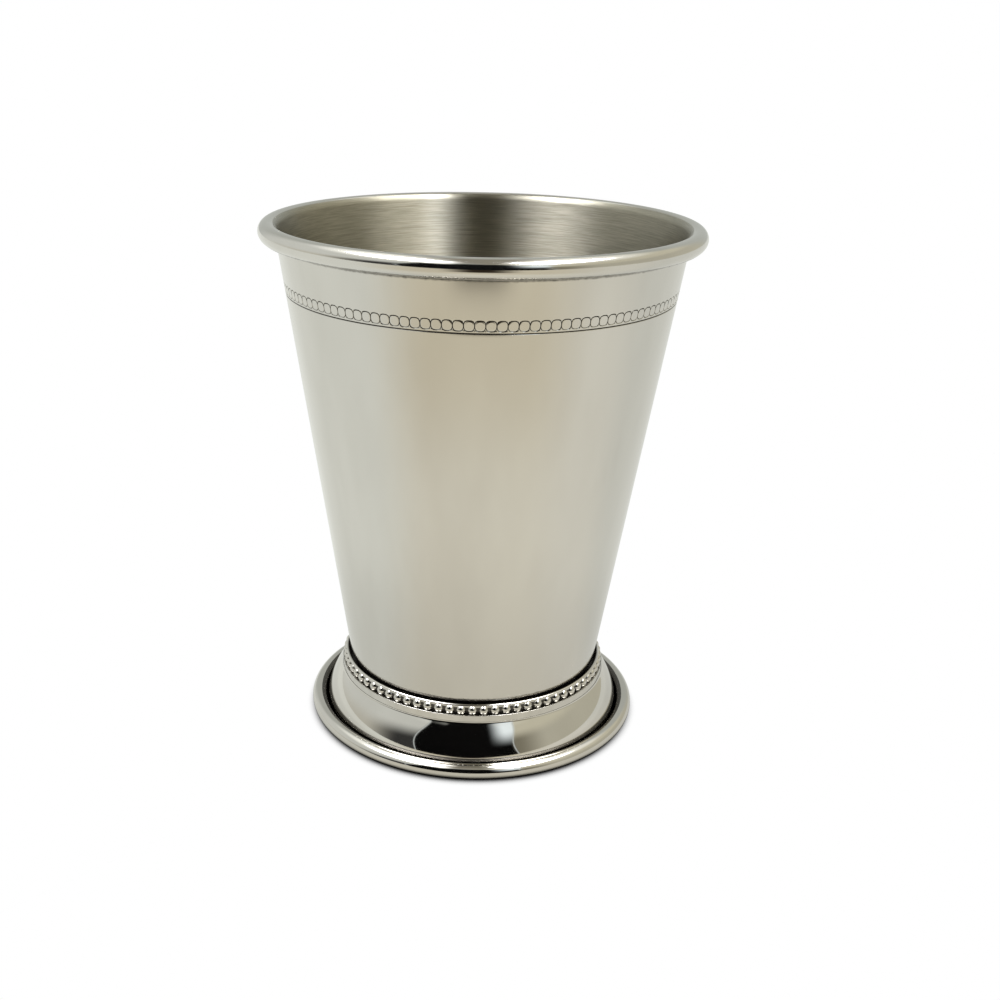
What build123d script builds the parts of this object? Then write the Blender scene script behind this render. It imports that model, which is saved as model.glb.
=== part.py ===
from build123d import *
import os
from math import acos, asin, cos, degrees, pi, radians, sin, tan

# Julep cup in polished stainless sheet. Millimetres, +Z up.
# The origin is the centre of the ring that the foot stands on.

# Cup body, drawn from one sheet
CUP_HEIGHT = 107.3          # from the table to the top of the rim
RIM_DIAMETER = 89.0         # over the rolled rim
CUP_SHEET = 0.6             # thickness of wall, floor and roll
WALL_TAPER = 8.7            # degrees that the wall leans outwards
RIM_ROLL_DIAMETER = 3.85    # outside of the hollow rim roll
RIM_ROLL_GAP = 0.15         # left open between the edge of the roll and the wall
HEEL_RADIUS = 5.0           # outside corner between wall and floor

# Two fine lines rolled into the wall, the borders of the coined band
BAND_DROP = 11.5            # from the top of the rim down to the upper line
BAND_HEIGHT = 2.4           # from the upper line to the lower line
LINE_WIDTH = 0.4
LINE_DEPTH = 0.1

# Foot, spun from one sheet
FOOT_SHEET = 0.8            # thickness of roll, skirt and ledge
FOOT_HEIGHT = 10.0          # from the table to the top of the ledge
SKIRT_COVE = 0.8            # radius of the hollow curve below the shoulder
SKIRT_LEAN = 38.4           # degrees that the skirt leans where the hollow curve meets the bulge
SKIRT_BULGE = 17.15         # radius of the bulging curve below it
FOOT_BEND = 1.6             # outside radius of the bend under the skirt
LAND_WIDTH = 0.76           # flat ring that stands on the table
FOOT_ROLL_DIAMETER = 3.3    # outside of the hollow foot roll
FOOT_ROLL_END = 140.0       # degrees at which the roll's edge stops, short of the skirt
SHOULDER_STEP = 0.05        # rim of the ledge that shows outside the pearl ring
SHOULDER_ROUND = 0.04
LEDGE_LIP = 0.6             # ledge that shows inside the braze ring

# Pearl ring: a solid collar round the heel, with a round lip, a row of pearls and a strip below them
COLLAR_HEIGHT = 3.5         # from the ledge to the top of the lip
COLLAR_GAP = 0.3            # between the lip and the line of the wall
LIP_THICKNESS = 0.8         # of the collar at its top
LIP_ROUND = 0.37
VALLEY_THICKNESS = 0.65     # of the collar between the pearls, where the strip starts
STRIP_THICKNESS = 1.485     # of the collar at the strip
STRIP_HEIGHT = 1.4
STRIP_ROUND = 0.08
PEARL_DIAMETER = 2.25
PEARL_SPACE = 0.05          # least space between neighbouring pearls
PEARL_SINK = 0.375          # how deep a pearl sits in the strip
PEARL_INSET = 0.15          # how far the pearls stay behind the face of the strip
PEARL_TURN = 1.8            # degrees from +X to the first pearl

# Braze ring, the joint between the floor of the cup and the ledge
BRAZE_THICKNESS = 0.3
BRAZE_WIDTH = 2.0
BRAZE_INSET = 0.4           # from the heel's curve to the braze

taper = radians(WALL_TAPER)

# Rim roll: the wall's inner face runs into its outside, the wall's outer face into its hollow
rim_roll = RIM_ROLL_DIAMETER / 2
rim_hollow = rim_roll - CUP_SHEET
rim_centre = (RIM_DIAMETER / 2 - rim_roll, CUP_HEIGHT - rim_roll)
floor_under = FOOT_HEIGHT + BRAZE_THICKNESS
floor_top = floor_under + CUP_SHEET


def wall_radius(height):
    """Radius of the wall's outer face at a height."""
    return rim_centre[0] - rim_hollow / cos(taper) - (rim_centre[1] - height) * tan(taper)


# The collar follows the wall, the pearls follow the collar, and so does the shoulder of the foot
lip_top = FOOT_HEIGHT + COLLAR_HEIGHT
strip_top = FOOT_HEIGHT + STRIP_HEIGHT
collar_inner = wall_radius(lip_top) + COLLAR_GAP
strip_outer = collar_inner + STRIP_THICKNESS
pearl = PEARL_DIAMETER / 2
pearl_height = strip_top + pearl - PEARL_SINK
pearl_circle = strip_outer - PEARL_INSET - pearl
pearl_count = int(2 * pi * pearl_circle / (PEARL_DIAMETER + PEARL_SPACE))
shoulder = strip_outer + SHOULDER_STEP

# The braze lies under the flat of the floor, and the ledge reaches in past it
heel_flat = wall_radius(floor_under) - HEEL_RADIUS * tan((pi / 2 - taper) / 2)
braze_outer = heel_flat - BRAZE_INSET
braze_inner = braze_outer - BRAZE_WIDTH
ledge_bore = braze_inner - LEDGE_LIP


def step(start, reach, angle):
    """Point at a distance from a start, in a direction given in degrees."""
    return (start[0] + reach * cos(radians(angle)), start[1] + reach * sin(radians(angle)))


# Outside of the foot: hollow curve, bulge, bend and roll, each tangent to the one before
cove_centre = (shoulder + SKIRT_COVE, FOOT_HEIGHT)
bulge_centre = step(cove_centre, SKIRT_COVE + SKIRT_BULGE, 180 + SKIRT_LEAN)
bend_reach = SKIRT_BULGE + FOOT_BEND - FOOT_SHEET
toe_lean = degrees(asin((FOOT_BEND - bulge_centre[1]) / bend_reach))
bend_centre = step(bulge_centre, bend_reach, toe_lean)
foot_roll = FOOT_ROLL_DIAMETER / 2
foot_roll_centre = (bend_centre[0] + LAND_WIDTH, foot_roll)


def round_corner(section, corner, radius):
    """Round the corner of a section that lies at a point."""
    fillet(section.vertices().sort_by_distance(corner)[0], radius)


def cup_body():
    """Tumbler with a flat floor, a tapered wall and a rim rolled outwards."""
    edge_angle = degrees(acos((rim_hollow - RIM_ROLL_GAP) / rim_roll))
    roll_start = 180 - WALL_TAPER
    roll_sweep = edge_angle - 360
    heel_outside = (wall_radius(floor_under), floor_under)
    heel_inside = (wall_radius(floor_top) - CUP_SHEET / cos(taper), floor_top)
    with BuildPart() as body:
        with BuildSketch(Plane.XZ) as section:
            with BuildLine():
                roll = CenterArc(rim_centre, rim_roll, roll_start, roll_sweep)
                hollow = CenterArc(rim_centre, rim_hollow, roll_start, roll_sweep)
                Line(roll @ 1, hollow @ 1)
                Polyline(hollow @ 0, heel_outside, (0, floor_under), (0, floor_top), heel_inside, roll @ 0)
            make_face()
            round_corner(section, heel_outside, HEEL_RADIUS)
            round_corner(section, heel_inside, HEEL_RADIUS - CUP_SHEET)
        revolve(axis=Axis.Z)
        line_round = LINE_WIDTH**2 / (8 * LINE_DEPTH) + LINE_DEPTH / 2
        line_offset = line_round - LINE_DEPTH
        for drop in (BAND_DROP, BAND_DROP + BAND_HEIGHT):
            line_height = CUP_HEIGHT - drop
            line_circle = wall_radius(line_height) + line_offset * cos(taper)
            with Locations((0, 0, line_height - line_offset * sin(taper))):
                Torus(line_circle, line_round, mode=Mode.SUBTRACT)
    return body.part


def foot():
    """Pedestal ring: rolled lower edge, ogee skirt, and a ledge turned in under the cup."""
    ledge_under = FOOT_HEIGHT - FOOT_SHEET
    bulge_inside = SKIRT_BULGE - FOOT_SHEET
    ledge_turn = degrees(asin((ledge_under - bulge_centre[1]) / bulge_inside))
    bulge_sweep = toe_lean - SKIRT_LEAN
    bend_sweep = 90 - toe_lean
    roll_sweep = 90 + FOOT_ROLL_END
    with BuildPart() as ring:
        with BuildSketch(Plane.XZ) as section:
            with BuildLine():
                cove = CenterArc(cove_centre, SKIRT_COVE, 180, SKIRT_LEAN)
                inside = CenterArc(bulge_centre, bulge_inside, ledge_turn, toe_lean - ledge_turn)
                Polyline(cove @ 0, (ledge_bore, FOOT_HEIGHT), (ledge_bore, ledge_under), inside @ 0)
                CenterArc(bulge_centre, SKIRT_BULGE, SKIRT_LEAN, bulge_sweep)
                bend = CenterArc(bend_centre, FOOT_BEND, 180 + toe_lean, bend_sweep)
                bend_inside = CenterArc(bend_centre, FOOT_BEND - FOOT_SHEET, 180 + toe_lean, bend_sweep)
                roll = CenterArc(foot_roll_centre, foot_roll, -90, roll_sweep)
                hollow = CenterArc(foot_roll_centre, foot_roll - FOOT_SHEET, -90, roll_sweep)
                Line(bend @ 1, roll @ 0)
                Line(bend_inside @ 1, hollow @ 0)
                Line(roll @ 1, hollow @ 1)
            make_face()
            round_corner(section, (shoulder, FOOT_HEIGHT), SHOULDER_ROUND)
        revolve(axis=Axis.Z)
    return ring.part


def pearl_ring():
    """Solid collar with a round lip, a strip along its foot and a closed row of pearls between them."""
    strip_corner = (strip_outer, strip_top)
    lip_outside = (collar_inner + LIP_THICKNESS, lip_top)
    lip_inside = (collar_inner, lip_top)
    with BuildPart() as pearls:
        with Locations((0, 0, pearl_height)):
            with PolarLocations(pearl_circle, pearl_count, PEARL_TURN):
                Sphere(pearl)
            Cylinder(collar_inner + VALLEY_THICKNESS / 2, PEARL_DIAMETER, mode=Mode.SUBTRACT)
    with BuildPart() as ring:
        with BuildSketch(Plane.XZ) as section:
            with BuildLine():
                Polyline(
                    (collar_inner, FOOT_HEIGHT),
                    (strip_outer, FOOT_HEIGHT),
                    strip_corner,
                    (collar_inner + VALLEY_THICKNESS, strip_top),
                    lip_outside,
                    lip_inside,
                    close=True,
                )
            make_face()
            round_corner(section, strip_corner, STRIP_ROUND)
            round_corner(section, lip_outside, LIP_ROUND)
            round_corner(section, lip_inside, LIP_ROUND)
        revolve(axis=Axis.Z)
        add(pearls.part)
    return ring.part


def braze_ring():
    """Flat ring of braze with a round inner edge, between the ledge and the floor of the cup."""
    bead = BRAZE_THICKNESS / 2
    middle = FOOT_HEIGHT + bead
    with BuildPart() as ring:
        with BuildSketch(Plane.XZ):
            with BuildLine():
                edge = CenterArc((braze_inner + bead, middle), bead, 90, 180)
                Polyline(edge @ 1, (braze_outer, FOOT_HEIGHT), (braze_outer, floor_under), edge @ 0)
            make_face()
        revolve(axis=Axis.Z)
    return ring.part


os.makedirs("parts", exist_ok=True)
for name, piece in (
    ("cup_body", cup_body()),
    ("foot", foot()),
    ("pearl_ring", pearl_ring()),
    ("braze_ring", braze_ring()),
):
    export_step(piece, f"parts/{name}.step")
print(f"pearls {pearl_count}, foot diameter {2 * (foot_roll_centre[0] + foot_roll):.2f}")
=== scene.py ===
from math import acos, asin, atan, atan2, cos, pi, radians, sin, tan

import bmesh
import bpy
from mathutils import Matrix, Vector


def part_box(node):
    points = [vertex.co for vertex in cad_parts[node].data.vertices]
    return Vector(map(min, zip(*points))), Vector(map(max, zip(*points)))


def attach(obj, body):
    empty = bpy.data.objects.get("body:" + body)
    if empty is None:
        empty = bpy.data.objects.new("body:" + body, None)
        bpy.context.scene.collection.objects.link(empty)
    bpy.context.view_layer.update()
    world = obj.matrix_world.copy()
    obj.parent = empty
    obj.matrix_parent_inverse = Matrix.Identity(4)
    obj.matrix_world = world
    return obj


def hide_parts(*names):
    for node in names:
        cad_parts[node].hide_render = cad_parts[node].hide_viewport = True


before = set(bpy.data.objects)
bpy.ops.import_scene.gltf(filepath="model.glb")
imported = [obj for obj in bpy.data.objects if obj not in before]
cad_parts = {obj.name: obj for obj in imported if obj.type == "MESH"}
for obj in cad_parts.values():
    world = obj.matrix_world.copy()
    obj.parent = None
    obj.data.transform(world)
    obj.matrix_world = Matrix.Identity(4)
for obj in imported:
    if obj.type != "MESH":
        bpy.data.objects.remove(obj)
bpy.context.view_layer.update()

# Julep cup in polished stainless sheet, in metres. The frame gives the outer sizes.
# Painted shade is given as a share, from 0, none, to 1, full.
cup_low, cup_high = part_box("cup_body")
foot_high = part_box("foot")[1]
ring_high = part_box("pearl_ring")[1]
braze_low, braze_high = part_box("braze_ring")

# Cup body
CUP_SHEET = 0.0006
WALL_TAPER = radians(8.7)
RIM_ROLL = 0.001925          # outside radius of the rolled rim
RIM_ROLL_GAP = 0.00015       # between the edge of the roll and the wall
HEEL_RADIUS = 0.005
BRUSHED_EDGE = radians(48)   # how far the brushing runs up onto the roll
CREVICE_DARK = 0.00025       # painted shade of the crevice on the wall, above the lip of the pearl ring
CREVICE_FADE = 0.0005
ROLL_DARK = 0.0002           # painted shade on the wall, below the underside of the roll
ROLL_FADE = 0.0009
WALL_PAINTED_SHADE = 0.9             # share of painted shade on the wall there
ROLL_SHADE = radians(88)     # painted shade on the underside of the roll, from its edge
ROLL_SHADE_END = radians(20)
ROLL_PAINTED_SHADE = 0.55            # share of painted shade on that underside

# Coined band: a row of discs, each in a groove of its own, over one ruled line
DISC_COUNT = 128
DISC_SIDES = 16
DISC_SQUARE = 3.0            # 2 is a round disc, more is squarer
DISC_TURN = radians(-90)     # to the middle of the first disc
BAND_DROP = 0.01249          # from the top of the rim to the middle of the discs
DISC_MIDDLE = 0.00070        # level middle of a disc
DISC_FLAT = 0.00080          # where its edge starts to round
DISC_EDGE = 0.00088          # where its side falls into the groove
EDGE_FALL = 0.00002
GROOVE_START = 0.00092       # bottom of the groove
GROOVE_END = 0.00098
GROOVE_RIM = 0.00109         # where the groove comes back up to the wall
GROOVE_DEPTH = 0.00012
LEVEL_START = 0.00115        # level wall outside the groove
GROOVE_LOW = 0.7             # depth under a disc, as a share of the depth over it
BAND_ABOVE = 0.00125         # reach of the coined strip above the middle of the discs
BAND_BELOW = 0.00126         # and below it
LINE_WIDTH = 0.00034         # ruled line under the discs
LINE_DEPTH = 0.00010
LINE_DRAW = 0.00002          # how far the ruling drew in the wall below the line
DRAW_REACH = 0.0009
DRAW_STEPS = (0.4, 0.7, 0.9, 1)    # shares of that reach, closer together near the line

# Foot
FOOT_SHEET = 0.0008
SKIRT_COVE = 0.0008
SKIRT_LEAN = radians(38.4)
SKIRT_BULGE = 0.01715
FOOT_BEND = 0.0016
LAND_WIDTH = 0.00076
FOOT_ROLL = 0.00165
FOOT_ROLL_END = radians(140)
TOE_SHADE = radians(4)       # painted shade of the groove on the toe of the skirt
TOE_PAINTED_SHADE = 0.5
BEND_PAINTED_SHADE = 0.75            # share of painted shade further in, at the start of the bend
ROLL_TOP_SHADE = radians(34) # painted shade of the groove on the roll
ROLL_TOP_PAINTED_SHADE = 0.9
SHOULDER_STEP = 0.00005
SHOULDER_ROUND = 0.00004
LEDGE_LIP = 0.0006

# Pearl ring
PEARL_COUNT = 75
PEARL = 0.001125             # radius of a pearl
PEARL_SINK = 0.000375        # how deep a pearl sits in the strip
PEARL_INSET = 0.00015        # how far the pearls stay behind the face of the strip
PEARL_TURN = radians(1.8)    # to the first pearl
PEARL_SIDE_POWER = 5         # keeps the painted shade close to where neighbouring pearls meet
# Share of painted shade under each pearl
PEARL_UNDER_PAINTED_SHADE = 0.25
LIP_THICKNESS = 0.0008
LIP_ROUND = 0.00037
VALLEY_THICKNESS = 0.00065
VALLEY_SHADE = 0.8           # share of the collar's face behind the pearls that gets painted shade
STRIP_THICKNESS = 0.001485
STRIP_HEIGHT = 0.0014
STRIP_ROUND = 0.00008
# Shares of painted shade on the strip's edge and top
STRIP_EDGE_PAINTED_SHADE = 0.5
STRIP_TOP_PAINTED_SHADE = 0.6

# Braze ring
BRAZE_WIDTH = 0.0020

LATHE_STEPS = 512            # four to each coined disc
LATHE_SECTORS = 16
MERGE = 1e-6                 # points nearer than this are one
CREASE = radians(24)         # edges that turn more than this stay sharp

rim_hollow = RIM_ROLL - CUP_SHEET
rim_centre = (cup_high.x - RIM_ROLL, cup_high.z - RIM_ROLL)
floor_under = cup_low.z
floor_top = floor_under + CUP_SHEET
ledge_top = foot_high.z


def wall_radius(height):
    """Radius of the wall's outer face at a height."""
    return rim_centre[0] - rim_hollow / cos(WALL_TAPER) - (rim_centre[1] - height) * tan(WALL_TAPER)


class Outline:
    """Half section of a turned piece, drawn from point to point in the XZ plane.

    Each point has a finish, its place in the piece's materials, and a valley, its share of painted shade.
    """

    def __init__(self, mesh, radius, height, finish=0):
        self.mesh = mesh
        self.finish = mesh.verts.layers.int.get("finish") or mesh.verts.layers.int.new("finish")
        self.valley = mesh.verts.layers.float.get("valley") or mesh.verts.layers.float.new("valley")
        self.tip = mesh.verts.new((radius, 0, height))
        self.mark(self.tip, finish, 0)

    def mark(self, vert, finish, valley):
        """Give a point its finish and valley."""
        vert[self.finish] = finish
        vert[self.valley] = valley

    def line(self, radius, height, steps=1, finish=0, valley=0):
        """Draw straight on to a point, in equal steps."""
        reach = (Vector((radius, 0, height)) - self.tip.co) / steps
        for _ in range(steps):
            self.tip = bmesh.ops.extrude_vert_indiv(self.mesh, verts=[self.tip])["verts"][0]
            self.mark(self.tip, finish, valley)
            bmesh.ops.translate(self.mesh, verts=[self.tip], vec=reach)

    def arc(self, centre, turn, steps, finish=0, valley=0):
        """Draw on round a centre, anticlockwise where the turn is positive."""
        before = set(self.mesh.verts)
        drawn = bmesh.ops.spin(
            self.mesh,
            geom=[self.tip],
            cent=(centre[0], 0, centre[1]),
            axis=(0, -1, 0),
            angle=turn,
            steps=steps,
        )
        for vert in set(self.mesh.verts) - before:
            self.mark(vert, finish, valley)
        self.tip = [part for part in drawn["geom_last"] if isinstance(part, bmesh.types.BMVert)][0]


def at(centre, reach, angle):
    """Point of the section at a distance and an angle from a centre."""
    return (centre[0] + reach * cos(angle), centre[1] + reach * sin(angle))


def turn_about_axis(mesh, angle):
    """Turn a whole mesh about the axis of the cup."""
    bmesh.ops.rotate(mesh, verts=mesh.verts, cent=(0, 0, 0), matrix=Matrix.Rotation(angle, 3, "Z"))


def copy_round(mesh, geom, count):
    """Copy part of a mesh round the axis of the cup, to a number in all."""
    bmesh.ops.spin(
        mesh,
        geom=geom,
        cent=(0, 0, 0),
        axis=(0, 0, 1),
        angle=2 * pi * (1 - 1 / count),
        steps=count - 1,
        use_duplicate=True,
    )


def lathe(mesh):
    """Turn every outline drawn so far about the axis of the cup, one sector first and then its copies."""
    made = set(mesh.faces)
    loose = [vert for vert in mesh.verts if not vert.link_faces]
    bmesh.ops.remove_doubles(mesh, verts=loose, dist=MERGE)
    bmesh.ops.spin(
        mesh,
        geom=[part for part in (*mesh.verts, *mesh.edges) if not part.link_faces],
        cent=(0, 0, 0),
        axis=(0, 0, 1),
        angle=2 * pi / LATHE_SECTORS,
        steps=LATHE_STEPS // LATHE_SECTORS,
    )
    faces = set(mesh.faces) - made
    edges = {edge for face in faces for edge in face.edges}
    verts = {vert for face in faces for vert in face.verts}
    copy_round(mesh, [*verts, *edges, *faces], LATHE_SECTORS)


def finish_piece(mesh, name, node, materials):
    """Close the mesh, turn its faces outwards, and set it in the frame in place of its CAD node."""
    bmesh.ops.remove_doubles(mesh, verts=mesh.verts, dist=MERGE)
    bmesh.ops.recalc_face_normals(mesh, faces=mesh.faces)
    finish = mesh.verts.layers.int["finish"]
    for face in mesh.faces:
        face.smooth = True
        face.material_index = max(vert[finish] for vert in face.verts)
    data = bpy.data.meshes.new(name)
    mesh.to_mesh(data)
    mesh.free()
    data.set_sharp_from_angle(angle=CREASE)
    for material in materials:
        data.materials.append(material)
    piece = bpy.data.objects.new(name, data)
    bpy.context.scene.collection.objects.link(piece)
    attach(piece, "root")
    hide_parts(node)


# Coined band

band_height = cup_high.z - BAND_DROP
half_pitch = pi * wall_radius(band_height) / DISC_COUNT

# Distance from the middle of a disc, and height over the wall there
coin_steps = (
    (0, 0),
    (DISC_FLAT, 0),
    (DISC_EDGE, -EDGE_FALL),
    (GROOVE_START, -GROOVE_DEPTH),
    (GROOVE_END, -GROOVE_DEPTH),
    (GROOVE_RIM, 0),
)


def on_band(up, out):
    """Point of the section, up along the wall from the middle of the discs and out from its face."""
    return (
        wall_radius(band_height) + up * sin(WALL_TAPER) + out * cos(WALL_TAPER),
        band_height + up * cos(WALL_TAPER) - out * sin(WALL_TAPER),
    )


def disc_reach(across, up):
    """Distance from the middle of a disc, equal all along the disc's rounded square edge."""
    return (abs(across) ** DISC_SQUARE + abs(up) ** DISC_SQUARE) ** (1 / DISC_SQUARE)


def coin_level(across, up):
    """Height of the coined face over the wall, from disc to groove and back to the wall."""
    reach = disc_reach(across, up)
    press = 1 - (1 - GROOVE_LOW) * max(0, -up / reach) if reach else 1
    for (inner, high), (outer, low) in zip(coin_steps, coin_steps[1:]):
        if reach <= outer:
            return press * (high + (low - high) * (reach - inner) / (outer - inner))
    return 0


def strip_spot(angle, ring):
    """Point on a ring about the middle of a disc, kept within the disc's own part of the strip."""
    ray = Vector((cos(angle), sin(angle)))
    spot = ray * ring / disc_reach(*ray)
    if abs(spot.x) < half_pitch - MERGE:
        return spot
    return ray * half_pitch / abs(ray.x)


def strip_border(angle, above, below):
    """Point on the border of the disc's part of the strip: even steps along its top and bottom.

    Its sides have three points: level with the disc's middle, and where the groove's rim crosses them.
    """
    steps = angle / (pi / 4)
    if 1 - MERGE < abs(steps) < 3 + MERGE:
        return Vector(((2 - abs(steps)) * half_pitch, above if angle > 0 else -below))
    side = half_pitch if abs(steps) < 1 else -half_pitch
    joint = (GROOVE_RIM**DISC_SQUARE - half_pitch**DISC_SQUARE) ** (1 / DISC_SQUARE)
    return Vector((side, round(sin(angle) * 2) * joint))


def coined_discs(mesh):
    """The row of discs and grooves, one part of the strip copied round the wall."""
    valley = mesh.verts.layers.float.new("valley")
    bmesh.ops.create_circle(mesh, cap_ends=True, radius=DISC_MIDDLE, segments=DISC_SIDES)
    for ring in (DISC_FLAT, DISC_EDGE, GROOVE_START, GROOVE_END, GROOVE_RIM, LEVEL_START, None):
        rim = [edge for edge in mesh.edges if edge.is_boundary]
        grown = bmesh.ops.extrude_edge_only(mesh, edges=rim)["geom"]
        for vert in [part for part in grown if isinstance(part, bmesh.types.BMVert)]:
            angle = atan2(vert.co.y, vert.co.x)
            place = strip_spot(angle, ring) if ring else strip_border(angle, BAND_ABOVE, BAND_BELOW)
            if ring == LEVEL_START and abs(place.x) > half_pitch - MERGE:
                place = strip_border(angle, ring, ring)
            level = coin_level(*place)
            vert.co = (*place, level)
            # Painted shade, the more the deeper the groove
            vert[valley] = -level / GROOVE_DEPTH
    bmesh.ops.remove_doubles(mesh, verts=mesh.verts, dist=MERGE)

    # Faces that were squeezed onto the sides of the part
    fins = [face for face in mesh.faces if all(abs(vert.co.x) > half_pitch - MERGE for vert in face.verts)]
    bmesh.ops.delete(mesh, geom=fins, context="FACES")

    # The flat part wrapped onto the wall
    for vert in mesh.verts:
        across, up, out = vert.co
        radius, height = on_band(up, out)
        turn = across / half_pitch * pi / DISC_COUNT
        vert.co = (radius * cos(turn), radius * sin(turn), height)
    copy_round(mesh, [*mesh.verts, *mesh.edges, *mesh.faces], DISC_COUNT)


# Pieces

def cup_shell(materials):
    """Tumbler with floor, tapered wall, coined band and rolled rim."""
    brushed, under = 1, 2    # places in the materials, after the polished outside
    mesh = bmesh.new()
    coined_discs(mesh)

    # Underside, heel and wall, up to the ruled line and the coined strip
    heel_turn = pi / 2 - WALL_TAPER
    heel_flat = wall_radius(floor_under) - HEEL_RADIUS * tan(heel_turn / 2)
    line_low = -BAND_BELOW - LINE_WIDTH
    outside = Outline(mesh, 0, floor_under, under)
    outside.line(heel_flat, floor_under, steps=6, finish=under)
    # Painted shade on the heel and in the crevice above the pearl ring's lip
    outside.arc((heel_flat, floor_under + HEEL_RADIUS), heel_turn, steps=16, valley=1)
    for above, painted_shade in ((CREVICE_DARK, 1), (CREVICE_DARK + CREVICE_FADE, 0)):
        height = ring_high.z + above
        outside.line(wall_radius(height), height, valley=painted_shade)
    outside.line(*on_band(line_low - DRAW_REACH, 0), steps=10)
    for share in DRAW_STEPS:
        outside.line(*on_band(line_low - DRAW_REACH * (1 - share), -LINE_DRAW * share**2))
    # Painted shade in the ruled line
    outside.line(*on_band(line_low + LINE_WIDTH / 3, -LINE_DEPTH), valley=1)
    outside.line(*on_band(line_low + LINE_WIDTH * 2 / 3, -LINE_DEPTH), valley=1)
    outside.line(*on_band(-BAND_BELOW, 0))

    # Wall above the strip, then the hollow and the outside of the roll
    roll_start = pi - WALL_TAPER
    roll_turn = acos((rim_hollow - RIM_ROLL_GAP) / RIM_ROLL) - 2 * pi
    inside = Outline(mesh, *on_band(BAND_ABOVE, 0))
    # Painted shade on the wall under the roll, in its hollow and on its underside
    for below, painted_shade in ((ROLL_DARK + ROLL_FADE, 0), (ROLL_DARK, WALL_PAINTED_SHADE)):
        height = rim_centre[1] - RIM_ROLL - below
        inside.line(wall_radius(height), height, valley=painted_shade)
    inside.line(*at(rim_centre, rim_hollow, roll_start), valley=1)
    inside.arc(rim_centre, roll_turn, steps=24, valley=1)
    inside.line(*at(rim_centre, RIM_ROLL, roll_start + roll_turn), valley=1)
    inside.arc(rim_centre, ROLL_SHADE, steps=14, valley=ROLL_PAINTED_SHADE)
    inside.arc(rim_centre, ROLL_SHADE_END, steps=4)
    inside.arc(rim_centre, -roll_turn - BRUSHED_EDGE - ROLL_SHADE - ROLL_SHADE_END, steps=26)
    inside.arc(rim_centre, BRUSHED_EDGE, steps=10, finish=brushed)

    # Inner face and floor
    heel_inside = HEEL_RADIUS - CUP_SHEET
    inner_corner = wall_radius(floor_top) - CUP_SHEET / cos(WALL_TAPER)
    heel_centre = (inner_corner - heel_inside * tan(heel_turn / 2), floor_top + heel_inside)
    inside.line(*at(heel_centre, heel_inside, -WALL_TAPER), steps=10, finish=brushed)
    inside.arc(heel_centre, -heel_turn, steps=16, finish=brushed)
    inside.line(0, floor_top, steps=6, finish=brushed)

    lathe(mesh)
    turn_about_axis(mesh, DISC_TURN)
    finish_piece(mesh, "cup_shell", "cup_body", materials)


def foot_shell(materials):
    """Pedestal ring with a ledge, an ogee skirt, and a rolled lower edge."""
    under = 1    # place in the materials, after the polished outside
    shoulder = ring_high.x + SHOULDER_STEP
    cove_centre = (shoulder + SKIRT_COVE, ledge_top)
    bulge_centre = at(cove_centre, SKIRT_COVE + SKIRT_BULGE, pi + SKIRT_LEAN)
    bend_inside = FOOT_BEND - FOOT_SHEET
    toe_lean = asin((FOOT_BEND - bulge_centre[1]) / (SKIRT_BULGE + bend_inside))
    bend_centre = at(bulge_centre, SKIRT_BULGE + bend_inside, toe_lean)
    roll_centre = (bend_centre[0] + LAND_WIDTH, FOOT_ROLL)
    ledge_bore = braze_high.x - BRAZE_WIDTH - LEDGE_LIP
    ledge_under = ledge_top - FOOT_SHEET
    ledge_turn = asin((ledge_under - bulge_centre[1]) / (SKIRT_BULGE - FOOT_SHEET))
    bend_turn = pi / 2 - toe_lean
    roll_turn = pi / 2 + FOOT_ROLL_END

    # Ledge, shoulder, hollow curve, bulge and bend, down into the groove behind the roll
    mesh = bmesh.new()
    section = Outline(mesh, ledge_bore, ledge_top, under)
    # Painted shade in the seam at the shoulder
    section.line(shoulder - SHOULDER_ROUND, ledge_top, steps=3, valley=1)
    section.line(shoulder, ledge_top - SHOULDER_ROUND, valley=1)
    section.arc(cove_centre, SKIRT_LEAN - asin(SHOULDER_ROUND / SKIRT_COVE), steps=12)
    section.arc(bulge_centre, toe_lean + TOE_SHADE - SKIRT_LEAN, steps=26)
    # Painted shade on the toe and in the groove of the bend
    section.arc(bulge_centre, -TOE_SHADE, steps=5, valley=TOE_PAINTED_SHADE)
    section.arc(bend_centre, bend_turn / 3, steps=6, valley=BEND_PAINTED_SHADE)
    section.arc(bend_centre, bend_turn * 2 / 3, steps=12, valley=1)

    # Hollow and outside of the roll, then the underside back to the ledge
    # Painted shade in the hollow of the roll and on the groove side of its top
    section.line(roll_centre[0], FOOT_SHEET, valley=1)
    section.arc(roll_centre, roll_turn, steps=24, valley=1)
    section.line(*at(roll_centre, FOOT_ROLL, FOOT_ROLL_END), valley=1)
    section.arc(roll_centre, -ROLL_TOP_SHADE, steps=6, valley=ROLL_TOP_PAINTED_SHADE)
    section.arc(roll_centre, ROLL_TOP_SHADE - roll_turn, steps=42)
    section.line(bend_centre[0], 0)
    section.arc(bend_centre, -bend_turn, steps=12, finish=under)
    section.arc(bulge_centre, ledge_turn - toe_lean, steps=20, finish=under)
    section.line(ledge_bore, ledge_under, steps=3, finish=under)
    section.line(ledge_bore, ledge_top, finish=under)
    lathe(mesh)
    finish_piece(mesh, "foot_shell", "foot", materials)


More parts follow.
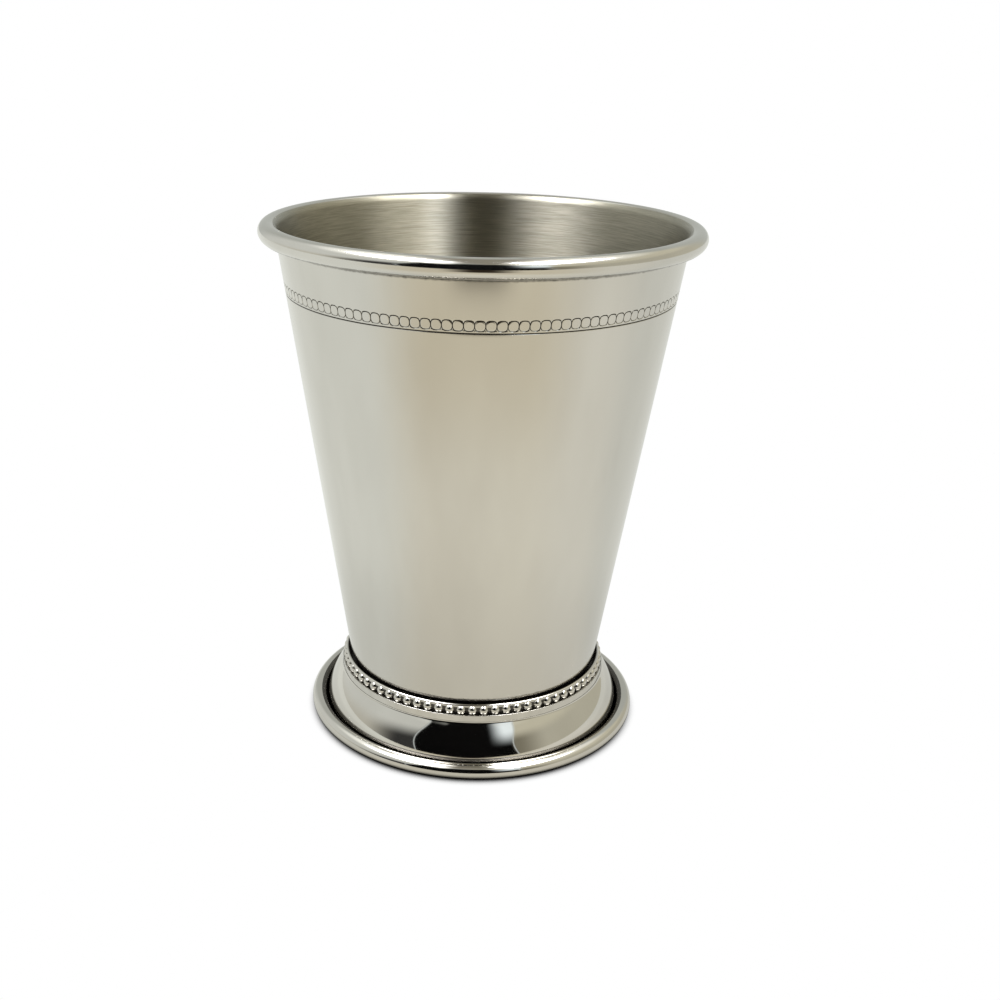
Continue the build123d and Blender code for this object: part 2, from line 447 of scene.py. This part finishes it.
def pearl_row(materials):
    """Collar with a round lip, a strip along its foot and a closed row of pearls between them."""
    strip_top = ledge_top + STRIP_HEIGHT
    strip_outer = ring_high.x
    lip_top = ring_high.z
    collar_inner = strip_outer - STRIP_THICKNESS
    valley_outer = collar_inner + VALLEY_THICKNESS
    pearl_circle = strip_outer - PEARL_INSET - PEARL

    # One pearl, cut off inside the collar, and its copies
    mesh = bmesh.new()
    valley = mesh.verts.layers.float.new("valley")
    bmesh.ops.create_uvsphere(mesh, u_segments=24, v_segments=18, radius=PEARL)
    # Painted shade where neighbouring pearls meet and under each pearl
    for vert in mesh.verts:
        beside = abs(vert.co.y) / PEARL
        below = max(-vert.co.z, 0) / PEARL
        vert[valley] = min(1, beside**PEARL_SIDE_POWER + below * PEARL_UNDER_PAINTED_SHADE)
    cut = bmesh.ops.bisect_plane(
        mesh,
        geom=[*mesh.verts, *mesh.edges, *mesh.faces],
        plane_co=(collar_inner + VALLEY_THICKNESS / 2 - pearl_circle, 0, 0),
        plane_no=(1, 0, 0),
        clear_inner=True,
    )["geom_cut"]
    bmesh.ops.edgeloop_fill(mesh, edges=[part for part in cut if isinstance(part, bmesh.types.BMEdge)])
    bmesh.ops.translate(mesh, verts=mesh.verts, vec=(pearl_circle, 0, strip_top + PEARL - PEARL_SINK))
    turn_about_axis(mesh, PEARL_TURN)
    copy_round(mesh, [*mesh.verts, *mesh.edges, *mesh.faces], PEARL_COUNT)

    # Collar: strip, face behind the pearls in painted shade, lip and inner face
    lip_lean = atan((LIP_THICKNESS - VALLEY_THICKNESS) / (lip_top - strip_top))
    lip_centre = (
        collar_inner + LIP_THICKNESS - LIP_ROUND * tan((pi / 2 + lip_lean) / 2),
        lip_top - LIP_ROUND,
    )
    lip_start = at(lip_centre, LIP_ROUND, -lip_lean)
    collar = Outline(mesh, collar_inner, ledge_top)
    collar.line(strip_outer, ledge_top, steps=2)
    collar.line(strip_outer, strip_top - STRIP_ROUND, steps=2)
    strip_corner = (strip_outer - STRIP_ROUND, strip_top - STRIP_ROUND)
    # Painted shade on the strip's edge and top, on the face behind the pearls, and on the lip's inner top
    # and inner face
    collar.arc(strip_corner, pi / 2, steps=6, valley=STRIP_EDGE_PAINTED_SHADE)
    collar.line(strip_outer - PEARL_INSET * 2, strip_top, valley=STRIP_TOP_PAINTED_SHADE)
    collar.line(valley_outer, strip_top, valley=1)
    collar.line(*Vector((valley_outer, strip_top)).lerp(lip_start, VALLEY_SHADE), valley=1)
    collar.line(*lip_start)
    collar.arc(lip_centre, pi / 2 + lip_lean, steps=10)
    collar.line(collar_inner + LIP_ROUND, lip_top, valley=1)
    collar.arc((collar_inner + LIP_ROUND, lip_top - LIP_ROUND), pi / 2, steps=8, valley=1)
    collar.line(collar_inner, ledge_top, steps=2, valley=1)
    lathe(mesh)
    finish_piece(mesh, "pearl_row", "pearl_ring", materials)


def braze_bead(materials):
    """Ring of braze between the ledge and the floor, with a round inner edge."""
    bead = (braze_high.z - braze_low.z) / 2
    inner = braze_high.x - BRAZE_WIDTH
    mesh = bmesh.new()
    section = Outline(mesh, inner + bead, braze_low.z)
    section.line(braze_high.x, braze_low.z, steps=2)
    section.line(braze_high.x, braze_high.z)
    section.line(inner + bead, braze_high.z, steps=2)
    section.arc((inner + bead, braze_low.z + bead), pi, steps=10)
    lathe(mesh)
    finish_piece(mesh, "braze_bead", "braze_ring", materials)


# Nodes

MIX_SHARE, MIX_FIRST, MIX_SECOND = 0, 6, 7    # sockets of a Mix node that mixes colours
MIX_RESULT = 2


def add(tree, kind, inputs=None, **settings):
    """Add a node, set its properties, and set or link its inputs."""
    node = tree.nodes.new(kind)
    for name, value in settings.items():
        setattr(node, name, value)
    for name, value in (inputs or {}).items():
        if isinstance(value, bpy.types.NodeSocket):
            tree.links.new(value, node.inputs[name])
        else:
            node.inputs[name].default_value = value
    return node


def ramp(tree, value, low, high, to_low=0.0, to_high=1.0):
    """A value eased from one range to another."""
    node = add(
        tree,
        "ShaderNodeMapRange",
        {"Value": value, "From Min": low, "From Max": high, "To Min": to_low, "To Max": to_high},
        interpolation_type="SMOOTHSTEP",
    )
    return node.outputs["Result"]


def maths(tree, operation, first, second=0.0):
    """Result of one operation on one or two values."""
    node = add(tree, "ShaderNodeMath", {0: first, 1: second}, operation=operation)
    return node.outputs["Value"]


def plus(tree, first, second):
    """Sum of two values."""
    return maths(tree, "ADD", first, second)


def times(tree, first, second):
    """Product of two values."""
    return maths(tree, "MULTIPLY", first, second)


def blend(tree, share, first, second):
    """Mix of two colours by a share."""
    node = add(tree, "ShaderNodeMix", data_type="RGBA")
    for index, value in ((MIX_SHARE, share), (MIX_FIRST, first), (MIX_SECOND, second)):
        if isinstance(value, bpy.types.NodeSocket):
            tree.links.new(value, node.inputs[index])
        else:
            node.inputs[index].default_value = (*value, 1) if isinstance(value, tuple) else value
    return node.outputs[MIX_RESULT]


def own_place(tree):
    """Place on a piece, in metres."""
    return add(tree, "ShaderNodeTexCoord").outputs["Object"]


def apart(tree, place):
    """The X, Y and Z of a place."""
    return add(tree, "ShaderNodeSeparateXYZ", {"Vector": place}).outputs


def stretch(tree, place, scale):
    """A place scaled along X, Y and Z."""
    return add(tree, "ShaderNodeMapping", {"Vector": place, "Scale": scale}).outputs["Vector"]


def noise(tree, place, scale, detail, roughness=0.5):
    """Cloudy noise, from 0 to 1."""
    values = {"Vector": place, "Scale": scale, "Detail": detail, "Roughness": roughness}
    return add(tree, "ShaderNodeTexNoise", values).outputs["Fac"]


def new_group(name, inputs, outputs):
    """New node group, with what it is given and what it puts out."""
    group = bpy.data.node_groups.new(name, "ShaderNodeTree")
    for label, start in inputs.items():
        socket = group.interface.new_socket(label, in_out="INPUT", socket_type="NodeSocketFloat")
        socket.default_value = start
    for label in outputs:
        group.interface.new_socket(label, in_out="OUTPUT", socket_type="NodeSocketFloat")
    return group, add(group, "NodeGroupInput").outputs, add(group, "NodeGroupOutput").inputs


# Finishes

CLOUD_STRETCH = (1, 1, 0.3)          # clouds and ripple stand upright
SCRATCH_STRETCH = (25, 25, 2600)     # scratches run level
CLOUD_RANGE = (0.3, 0.7)
SCRATCH_RANGE = (0.6, 0.78)          # only the peaks of the noise are scratches
CLOUD_DULL = 0.8                     # shares of the gloss spread
SCRATCH_DULL = 0.4
SCRATCH_RELIEF = 0.02                # as a share of the ripple
LINE_RANGE = (0.28, 0.72)
PAINTED_SHADE_SCALE = 1200.0                 # patches of painted shade about a millimetre across
PAINTED_SHADE_MIDDLE = 0.5                   # of the noise that makes the patches
PAINTED_SHADE_UNEVEN = 0.4
PAINTED_SHADE_RANGE = (0.25, 0.85)
# Colour of full painted shade
PAINTED_SHADE_COLOUR = (0.022, 0.018, 0.013)
PAINTED_SHADE_DULL = 0.3                     # roughness that full painted shade adds
QUARTER_TURN = 0.25
STEEL_LIGHT = (0.65, 0.63, 0.585)
BRAZE_DARK = (0.42, 0.35, 0.22)
BRAZE_LIGHT = (0.72, 0.66, 0.5)
CRUST_SCALE = 900.0
CRUST_RANGE = (0.2, 0.8)
CRUST_ROUGH = (0.5, 0.3)             # from the dark to the light of the crust


def polish_marks():
    """Cloudy tone, uneven gloss, hairline scratches and a faint ripple, as buffed sheet has."""
    group, given, out = new_group(
        "polish_marks",
        {"Cloud Scale": 60.0, "Gloss": 0.08, "Gloss Spread": 0.04, "Ripple Scale": 220.0},
        ("Tone", "Roughness", "Height"),
    )
    place = own_place(group)
    upright = stretch(group, place, CLOUD_STRETCH)
    level = stretch(group, place, SCRATCH_STRETCH)
    cloud = noise(group, upright, scale=given["Cloud Scale"], detail=4.0, roughness=0.55)
    ripple = noise(group, upright, scale=given["Ripple Scale"], detail=2.0)
    scratch = ramp(group, noise(group, level, scale=1.0, detail=3.0), *SCRATCH_RANGE)
    uneven = plus(group, times(group, cloud, CLOUD_DULL), times(group, scratch, SCRATCH_DULL))
    spread = times(group, uneven, given["Gloss Spread"])
    group.links.new(ramp(group, cloud, *CLOUD_RANGE), out["Tone"])
    group.links.new(plus(group, spread, given["Gloss"]), out["Roughness"])
    group.links.new(plus(group, ripple, times(group, scratch, SCRATCH_RELIEF)), out["Height"])
    return group


def turned_lines():
    """Fine lines that run round the axis, left by brushing on the lathe."""
    group, given, out = new_group(
        "turned_lines",
        {"Line Density": 3200.0, "Streak": 45.0, "Gloss": 0.3, "Gloss Spread": 0.15},
        ("Tone", "Roughness", "Height"),
    )
    parts = apart(group, own_place(group))
    flat = add(group, "ShaderNodeCombineXYZ", {"X": parts["X"], "Y": parts["Y"]}).outputs["Vector"]
    radius = add(group, "ShaderNodeVectorMath", {0: flat}, operation="LENGTH").outputs["Value"]
    run = {
        "X": times(group, parts["X"], given["Streak"]),
        "Y": times(group, parts["Y"], given["Streak"]),
        "Z": times(group, plus(group, radius, parts["Z"]), given["Line Density"]),
    }
    along = add(group, "ShaderNodeCombineXYZ", run).outputs["Vector"]
    lines = noise(group, along, scale=1.0, detail=5.0, roughness=0.65)
    tone = ramp(group, lines, *LINE_RANGE)
    spread = times(group, tone, given["Gloss Spread"])
    group.links.new(tone, out["Tone"])
    group.links.new(plus(group, spread, given["Gloss"]), out["Roughness"])
    group.links.new(lines, out["Height"])
    return group


def painted_valley_shade():
    """Uneven painted shade, by the depth of the valley that it lies in."""
    group, given, out = new_group("painted_valley_shade", {"Depth": 0.0, "Amount": 0.9}, ("Painted Shade",))
    patches = noise(group, own_place(group), scale=PAINTED_SHADE_SCALE, detail=3.0)
    uneven = times(group, maths(group, "SUBTRACT", patches, PAINTED_SHADE_MIDDLE), PAINTED_SHADE_UNEVEN)
    filled = ramp(group, plus(group, given["Depth"], uneven), *PAINTED_SHADE_RANGE)
    group.links.new(times(group, filled, given["Amount"]), out["Painted Shade"])
    return group


POLISH = polish_marks()
LINES = turned_lines()
PAINTED_SHADE = painted_valley_shade()


def new_metal(name):
    """New metal, with its node tree and its shader."""
    material = bpy.data.materials.new(name)
    material.use_nodes = True
    shader = material.node_tree.nodes["Principled BSDF"]
    shader.inputs["Metallic"].default_value = 1.0
    return material, material.node_tree, shader


def emboss(tree, shader, height, distance, strength):
    """Give a shader its fine relief."""
    relief = {"Height": height, "Distance": distance, "Strength": strength}
    tree.links.new(add(tree, "ShaderNodeBump", relief).outputs["Normal"], shader.inputs["Normal"])


def steel(name, light, dark, group, values, bump_distance, bump_strength, painted_shade=0.0, anisotropic=0.0):
    """Stainless steel with the tone, gloss and relief of a finish group, and painted shade in its valleys.
    """
    material, tree, shader = new_metal(name)
    finish = add(tree, "ShaderNodeGroup", values, node_tree=group).outputs
    colour = blend(tree, finish["Tone"], dark, light)
    roughness = finish["Roughness"]
    if painted_shade:
        depth = add(tree, "ShaderNodeAttribute", attribute_name="valley").outputs["Fac"]
        marks = add(tree, "ShaderNodeGroup", {"Depth": depth, "Amount": painted_shade}, node_tree=PAINTED_SHADE).outputs
        colour = blend(tree, marks["Painted Shade"], colour, PAINTED_SHADE_COLOUR)
        roughness = plus(tree, roughness, times(tree, marks["Painted Shade"], PAINTED_SHADE_DULL))
    tree.links.new(colour, shader.inputs["Base Color"])
    tree.links.new(roughness, shader.inputs["Roughness"])
    emboss(tree, shader, finish["Height"], bump_distance, bump_strength)
    if anisotropic:
        # The sheen runs across the turned lines
        shader.distribution = "GGX"
        shader.inputs["Anisotropic"].default_value = anisotropic
        shader.inputs["Anisotropic Rotation"].default_value = QUARTER_TURN
        round_axis = add(tree, "ShaderNodeTangent", direction_type="RADIAL", axis="Z")
        tree.links.new(round_axis.outputs["Tangent"], shader.inputs["Tangent"])
    return material


def braze_alloy():
    """Dull brazing metal with a mottled, slightly crusted face."""
    material, tree, shader = new_metal("braze_alloy")
    crust = noise(tree, own_place(tree), scale=CRUST_SCALE, detail=6.0)
    tree.links.new(blend(tree, crust, BRAZE_DARK, BRAZE_LIGHT), shader.inputs["Base Color"])
    tree.links.new(ramp(tree, crust, *CRUST_RANGE, *CRUST_ROUGH), shader.inputs["Roughness"])
    emboss(tree, shader, crust, distance=0.0001, strength=0.4)
    return material


outside_steel = steel(
    "outside_steel",
    light=STEEL_LIGHT,
    dark=(0.59, 0.57, 0.525),
    group=POLISH,
    values={"Cloud Scale": 45.0, "Gloss": 0.09, "Gloss Spread": 0.05, "Ripple Scale": 150.0},
    bump_distance=0.00002,
    bump_strength=0.15,
    painted_shade=0.95,
)
inside_steel = steel(
    "inside_steel",
    light=(0.53, 0.50, 0.41),
    dark=(0.33, 0.31, 0.25),
    group=LINES,
    values={"Line Density": 5200.0, "Streak": 150.0, "Gloss": 0.30, "Gloss Spread": 0.09},
    bump_distance=0.00003,
    bump_strength=0.2,
    anisotropic=1.0,
)
under_steel = steel(
    "under_steel",
    light=(0.60, 0.585, 0.55),
    dark=(0.47, 0.455, 0.42),
    group=LINES,
    values={"Line Density": 1800.0, "Streak": 30.0, "Gloss": 0.32, "Gloss Spread": 0.15},
    bump_distance=0.00004,
    bump_strength=0.3,
    anisotropic=0.6,
)
foot_steel = steel(
    "foot_steel",
    light=STEEL_LIGHT,
    dark=(0.60, 0.58, 0.535),
    group=POLISH,
    values={"Cloud Scale": 70.0, "Gloss": 0.035, "Gloss Spread": 0.03, "Ripple Scale": 260.0},
    bump_distance=0.00001,
    bump_strength=0.1,
    painted_shade=0.9,
)
pearl_steel = steel(
    "pearl_steel",
    light=STEEL_LIGHT,
    dark=(0.58, 0.56, 0.515),
    group=POLISH,
    values={"Cloud Scale": 300.0, "Gloss": 0.06, "Gloss Spread": 0.06, "Ripple Scale": 700.0},
    bump_distance=0.00001,
    bump_strength=0.15,
    painted_shade=0.9,
)

cup_shell([outside_steel, inside_steel, under_steel])
foot_shell([foot_steel, under_steel])
pearl_row([pearl_steel])
braze_bead([braze_alloy()])


# Studio: a white table in a tent that is open on the side of the camera.
# Sweeps are angles round the cup from that side, right positive. Rises are angles above the horizon.

def span(start, end):
    """Two angles given in degrees, as the range of a ramp."""
    return radians(start), radians(end)


WHITE = (1.0, 1.0, 1.0)

# Table, and the sweeps in which one tone of it passes into the next
TABLE_SIZE = 6.0
TABLE_PLAIN = (0.85, 0.84, 0.82)
TABLE_NEAR = (0.90, 0.875, 0.775)    # in front of the cup
TABLE_FAR = (0.80, 0.745, 0.60)
TABLE_LEFT = (0.90, 0.92, 0.875)
TABLE_RIGHT = (0.89, 0.88, 0.81)
TABLE_BACK = (0.79, 0.80, 0.755)
TABLE_DARK = (0.035, 0.025, 0.015)
NEAR_TO_FAR = (0.10, 0.19)           # distance from the axis of the cup
LEFT_TO_RIGHT = span(-40, 40)
RIGHT_TO_BACK = span(70, 108)
SIDES_TO_BACK = span(140, 178)       # on either side
SIDES_TO_FRONT = span(70, 25)
FOOT_SHADE = (0.10, 0.04)            # darker towards the foot
FOOT_SHADE_SHARE = 0.15
FRONT_EDGE = (0.219, 0.243)          # where the table fades into the dark opening
FRONT_EDGE_ENDS = span(22, 4)
SHADOW_SAMPLES = 16
CONTACT_REACH = 0.0025               # of the shadow that the foot leaves on the table
CONTACT_RANGE = (0.05, 0.85)
MIRROR_REACH = 0.006                 # and of the shadow that shows in the foot
MIRROR_RANGE = (0.42, 0.92)

# Cloth of the tent
LEFT_DARK = (0.05, 0.05, 0.05)
LEFT_LOW = (0.68, 0.67, 0.60)
LEFT_HIGH = (0.80, 0.82, 0.79)
LEFT_SWEEP = span(-55, -90)          # from dark to low
LEFT_RISE = span(15, 34)             # from low to high
LEFT_CLIMB = 0.3                     # the high cloth comes further down away from the opening
RIGHT_DARK = (0.28, 0.26, 0.20)
RIGHT_LOW = (0.61, 0.59, 0.49)
RIGHT_HIGH = (0.76, 0.73, 0.59)
RIGHT_SWEEP = span(36, 62)
RIGHT_RISE = span(18, 32)
MIDDLE_SWEEP = span(-10, 10)         # between left and right
BACK = (0.55, 0.57, 0.54)
BACK_SWEEP = span(130, 155)
ROOF = (0.34, 0.32, 0.27)
ROOF_RISE = span(50, 66)
LAMP_LEFT = (1.45, 1.47, 1.42)       # bright cloth high on both sides
LAMP_RIGHT = (1.25, 1.25, 1.18)
LAMP_BESIDE = (0.08, 0.28)           # how far to a side, where 1 is straight to that side
LAMP_RISE = span(36, 54)

# Opening of the tent
OPENING = (0.004, 0.004, 0.004)
OPENING_LEFT = radians(-40)
OPENING_RIGHT = radians(36)
OPENING_TOP = span(60, 50)
TOP_DROP = radians(10)               # the opening is lower towards its sides
TOP_DROP_SWEEP = span(12, 24)
SOFT_EDGE = radians(2)
EDGE_SWAY = radians(3)               # the cloth's edge hangs in a slight S
SWAY_RATE = 6.0
SEAM = (0.80, 0.86, 0.88)            # bright seam along the opening's edges
SEAM_HALF = radians(0.8)
GAP = (1.20, 1.32, 1.40)             # bright gap at the right of the opening, above the horizon
GAP_SWEEP = span(14, 30)
GAP_RISE = span(12, 34)

# Softboxes, high on both sides towards the camera
SOFTBOX_LEFT = (18.0, 18.2, 19.2)
SOFTBOX_RIGHT = (27.0, 27.3, 29.0)
SOFTBOX_SIDE = (11.5, 11.5, 11.3)    # the right one is weaker towards the side
SOFTBOX_BOTTOM = span(51, 57)
SOFTBOX_TOP = span(76, 70)
SOFTBOX_END = span(125, 100)         # towards the back
SOFTBOX_LEFT_EDGE = span(-18, -78)   # towards the camera
SOFTBOX_RIGHT_EDGE = span(34, 37)
SOFTBOX_SIDE_SWEEP = span(46, 56)

# Camera, in front of the cup and higher than its rim
CAMERA_PLACE = (0, -0.25906, 0.14536)
CAMERA_PAN = 1.001                   # degrees to the left
CAMERA_DIP = 20.685                  # degrees below level
CAMERA_ROLL = 1.042                  # degrees anticlockwise
CAMERA_LENS = 46.251                 # millimetres, as is the sensor
CAMERA_SENSOR = 36.0
CAMERA_SHIFT = 0.045                 # share of the picture's width
CAMERA_NEAR = 0.01                   # nothing nearer than this shows


def seen_by(tree):
    """1 for what the camera sees directly, and 1 for what shows in the metal."""
    path = add(tree, "ShaderNodeLightPath").outputs
    return path["Is Camera Ray"], maths(tree, "MAXIMUM", path["Is Glossy Ray"], path["Is Transmission Ray"])


def bearing(tree, parts):
    """Angle round the cup from the side of the camera, right positive."""
    return maths(tree, "ARCTAN2", parts["X"], times(tree, parts["Y"], -1.0))


def either(tree, share, first, second):
    """Mix of two shaders by a share."""
    return add(tree, "ShaderNodeMixShader", {0: share, 1: first, 2: second}).outputs["Shader"]


def glow(tree, colour, strength):
    """Light given off by a surface."""
    return add(tree, "ShaderNodeEmission", {"Color": colour, "Strength": strength}).outputs["Emission"]


def table_tint(tree):
    """Tone of the table as it shows in the metal, dark at its front edge."""
    place = own_place(tree)
    turn = bearing(tree, apart(tree, place))
    aside = maths(tree, "ABSOLUTE", turn)
    reach = add(tree, "ShaderNodeVectorMath", {0: place}, operation="LENGTH").outputs["Value"]
    front = blend(tree, ramp(tree, reach, *NEAR_TO_FAR), TABLE_NEAR, TABLE_FAR)
    sides = blend(tree, ramp(tree, turn, *LEFT_TO_RIGHT), TABLE_LEFT, TABLE_RIGHT)
    sides = blend(tree, ramp(tree, turn, *RIGHT_TO_BACK), sides, TABLE_BACK)
    sides = blend(tree, ramp(tree, aside, *SIDES_TO_BACK), sides, TABLE_BACK)
    tint = blend(tree, ramp(tree, aside, *SIDES_TO_FRONT), sides, front)
    tint = blend(tree, ramp(tree, reach, *FOOT_SHADE, to_high=FOOT_SHADE_SHARE), tint, TABLE_DARK)
    gone = times(tree, ramp(tree, reach, *FRONT_EDGE), ramp(tree, aside, *FRONT_EDGE_ENDS))
    return blend(tree, gone, tint, TABLE_DARK)


def table():
    """Pale table: white to the camera, with the contact shadow of the foot."""
    mesh = bmesh.new()
    bmesh.ops.create_grid(mesh, x_segments=1, y_segments=1, size=TABLE_SIZE / 2)
    data = bpy.data.meshes.new("table")
    mesh.to_mesh(data)
    mesh.free()
    top = bpy.data.objects.new("table", data)
    bpy.context.scene.collection.objects.link(top)
    material = bpy.data.materials.new("table")
    data.materials.append(material)
    material.use_nodes = True
    tree = material.node_tree
    tree.nodes.clear()
    camera_ray, glossy_ray = seen_by(tree)
    near, wide = (
        add(tree, "ShaderNodeAmbientOcclusion", {"Distance": far}, samples=SHADOW_SAMPLES).outputs["AO"]
        for far in (CONTACT_REACH, MIRROR_REACH)
    )
    white = glow(tree, (*WHITE, 1), ramp(tree, near, *CONTACT_RANGE))
    mirrored = glow(tree, table_tint(tree), ramp(tree, wide, *MIRROR_RANGE))
    plain = add(tree, "ShaderNodeBsdfDiffuse", {"Color": (*TABLE_PLAIN, 1)}).outputs["BSDF"]
    shown = either(tree, camera_ray, either(tree, glossy_ray, plain, mirrored), white)
    add(tree, "ShaderNodeOutputMaterial", {"Surface": shown})


def tent():
    """Tent of white cloth, bright on the left, greyer on the right and behind, open towards the camera."""
    world = bpy.data.worlds.new("tent")
    bpy.context.scene.world = world
    world.use_nodes = True
    tree = world.node_tree
    tree.nodes.clear()
    camera_ray, glossy_ray = seen_by(tree)
    parts = apart(tree, add(tree, "ShaderNodeTexCoord").outputs["Generated"])
    turn = bearing(tree, parts)
    rise = maths(tree, "ARCSINE", parts["Z"])
    aside = maths(tree, "ABSOLUTE", turn)
    beside = maths(tree, "ABSOLUTE", parts["X"])

    # Cloth on the left, dark low down next to the opening; on the right; and behind
    climb = plus(tree, rise, times(tree, plus(tree, aside, OPENING_LEFT), LEFT_CLIMB))
    left = blend(tree, ramp(tree, turn, *LEFT_SWEEP), LEFT_DARK, LEFT_LOW)
    left = blend(tree, ramp(tree, climb, *LEFT_RISE), left, LEFT_HIGH)
    right = blend(tree, ramp(tree, turn, *RIGHT_SWEEP), RIGHT_DARK, RIGHT_LOW)
    right = blend(tree, ramp(tree, rise, *RIGHT_RISE), right, RIGHT_HIGH)
    to_right = ramp(tree, turn, *MIDDLE_SWEEP)
    cloth = blend(tree, to_right, left, right)
    cloth = blend(tree, ramp(tree, aside, *BACK_SWEEP), cloth, BACK)

    # Dim middle of the roof, between bright cloth on both sides
    cloth = blend(tree, ramp(tree, rise, *ROOF_RISE), cloth, ROOF)
    lit = times(tree, ramp(tree, beside, *LAMP_BESIDE), ramp(tree, rise, *LAMP_RISE))
    cloth = blend(tree, lit, cloth, blend(tree, to_right, LAMP_LEFT, LAMP_RIGHT))

    # Opening towards the camera, with a bright gap at its right
    sway = times(tree, maths(tree, "SINE", times(tree, rise, SWAY_RATE)), EDGE_SWAY)
    swayed = plus(tree, turn, sway)
    right_of = ramp(tree, swayed, OPENING_LEFT - SOFT_EDGE, OPENING_LEFT + SOFT_EDGE)
    left_of = ramp(tree, swayed, OPENING_RIGHT + SOFT_EDGE, OPENING_RIGHT - SOFT_EDGE)
    drop = ramp(tree, aside, *TOP_DROP_SWEEP, to_high=TOP_DROP)
    below_top = ramp(tree, plus(tree, rise, drop), *OPENING_TOP)
    opening = times(tree, times(tree, right_of, left_of), below_top)
    gap = times(tree, ramp(tree, turn, *GAP_SWEEP), ramp(tree, rise, *GAP_RISE))
    cloth = blend(tree, opening, cloth, blend(tree, gap, OPENING, GAP))

    # Softboxes
    window = times(tree, ramp(tree, rise, *SOFTBOX_BOTTOM), ramp(tree, rise, *SOFTBOX_TOP))
    window = times(tree, window, ramp(tree, aside, *SOFTBOX_END))
    right_box = blend(tree, ramp(tree, turn, *SOFTBOX_SIDE_SWEEP), SOFTBOX_RIGHT, SOFTBOX_SIDE)
    for edge, softbox in ((SOFTBOX_LEFT_EDGE, SOFTBOX_LEFT), (SOFTBOX_RIGHT_EDGE, right_box)):
        cloth = blend(tree, times(tree, ramp(tree, turn, *edge), window), cloth, softbox)

    # Bright seams along the opening's edges
    from_left = maths(tree, "ABSOLUTE", maths(tree, "SUBTRACT", swayed, OPENING_LEFT))
    from_right = maths(tree, "ABSOLUTE", maths(tree, "SUBTRACT", swayed, OPENING_RIGHT))
    seam = ramp(tree, maths(tree, "MINIMUM", from_left, from_right), SEAM_HALF, 0.0)
    cloth = blend(tree, times(tree, seam, below_top), cloth, SEAM)

    # The metal shows the cloth; the camera sees white behind the cup
    cloth = blend(tree, glossy_ray, WHITE, cloth)
    shown = blend(tree, camera_ray, cloth, WHITE)
    light = add(tree, "ShaderNodeBackground", {"Color": shown, "Strength": 1.0}).outputs["Background"]
    add(tree, "ShaderNodeOutputWorld", {"Surface": light})


def camera():
    """Camera at the height and angle of the photograph."""
    lens = bpy.data.cameras.new("camera")
    lens.lens = CAMERA_LENS
    lens.sensor_width = CAMERA_SENSOR
    lens.shift_x = CAMERA_SHIFT
    lens.clip_start = CAMERA_NEAR
    eye = bpy.data.objects.new("camera", lens)
    pan = Matrix.Rotation(radians(CAMERA_PAN), 4, "Z")
    tilt = Matrix.Rotation(radians(90 - CAMERA_DIP), 4, "X")
    roll = Matrix.Rotation(radians(CAMERA_ROLL), 4, "Z")
    eye.matrix_world = Matrix.Translation(CAMERA_PLACE) @ pan @ tilt @ roll
    bpy.context.scene.collection.objects.link(eye)
    bpy.context.scene.camera = eye


table()
tent()
camera()
bpy.context.scene.view_settings.view_transform = "Standard"
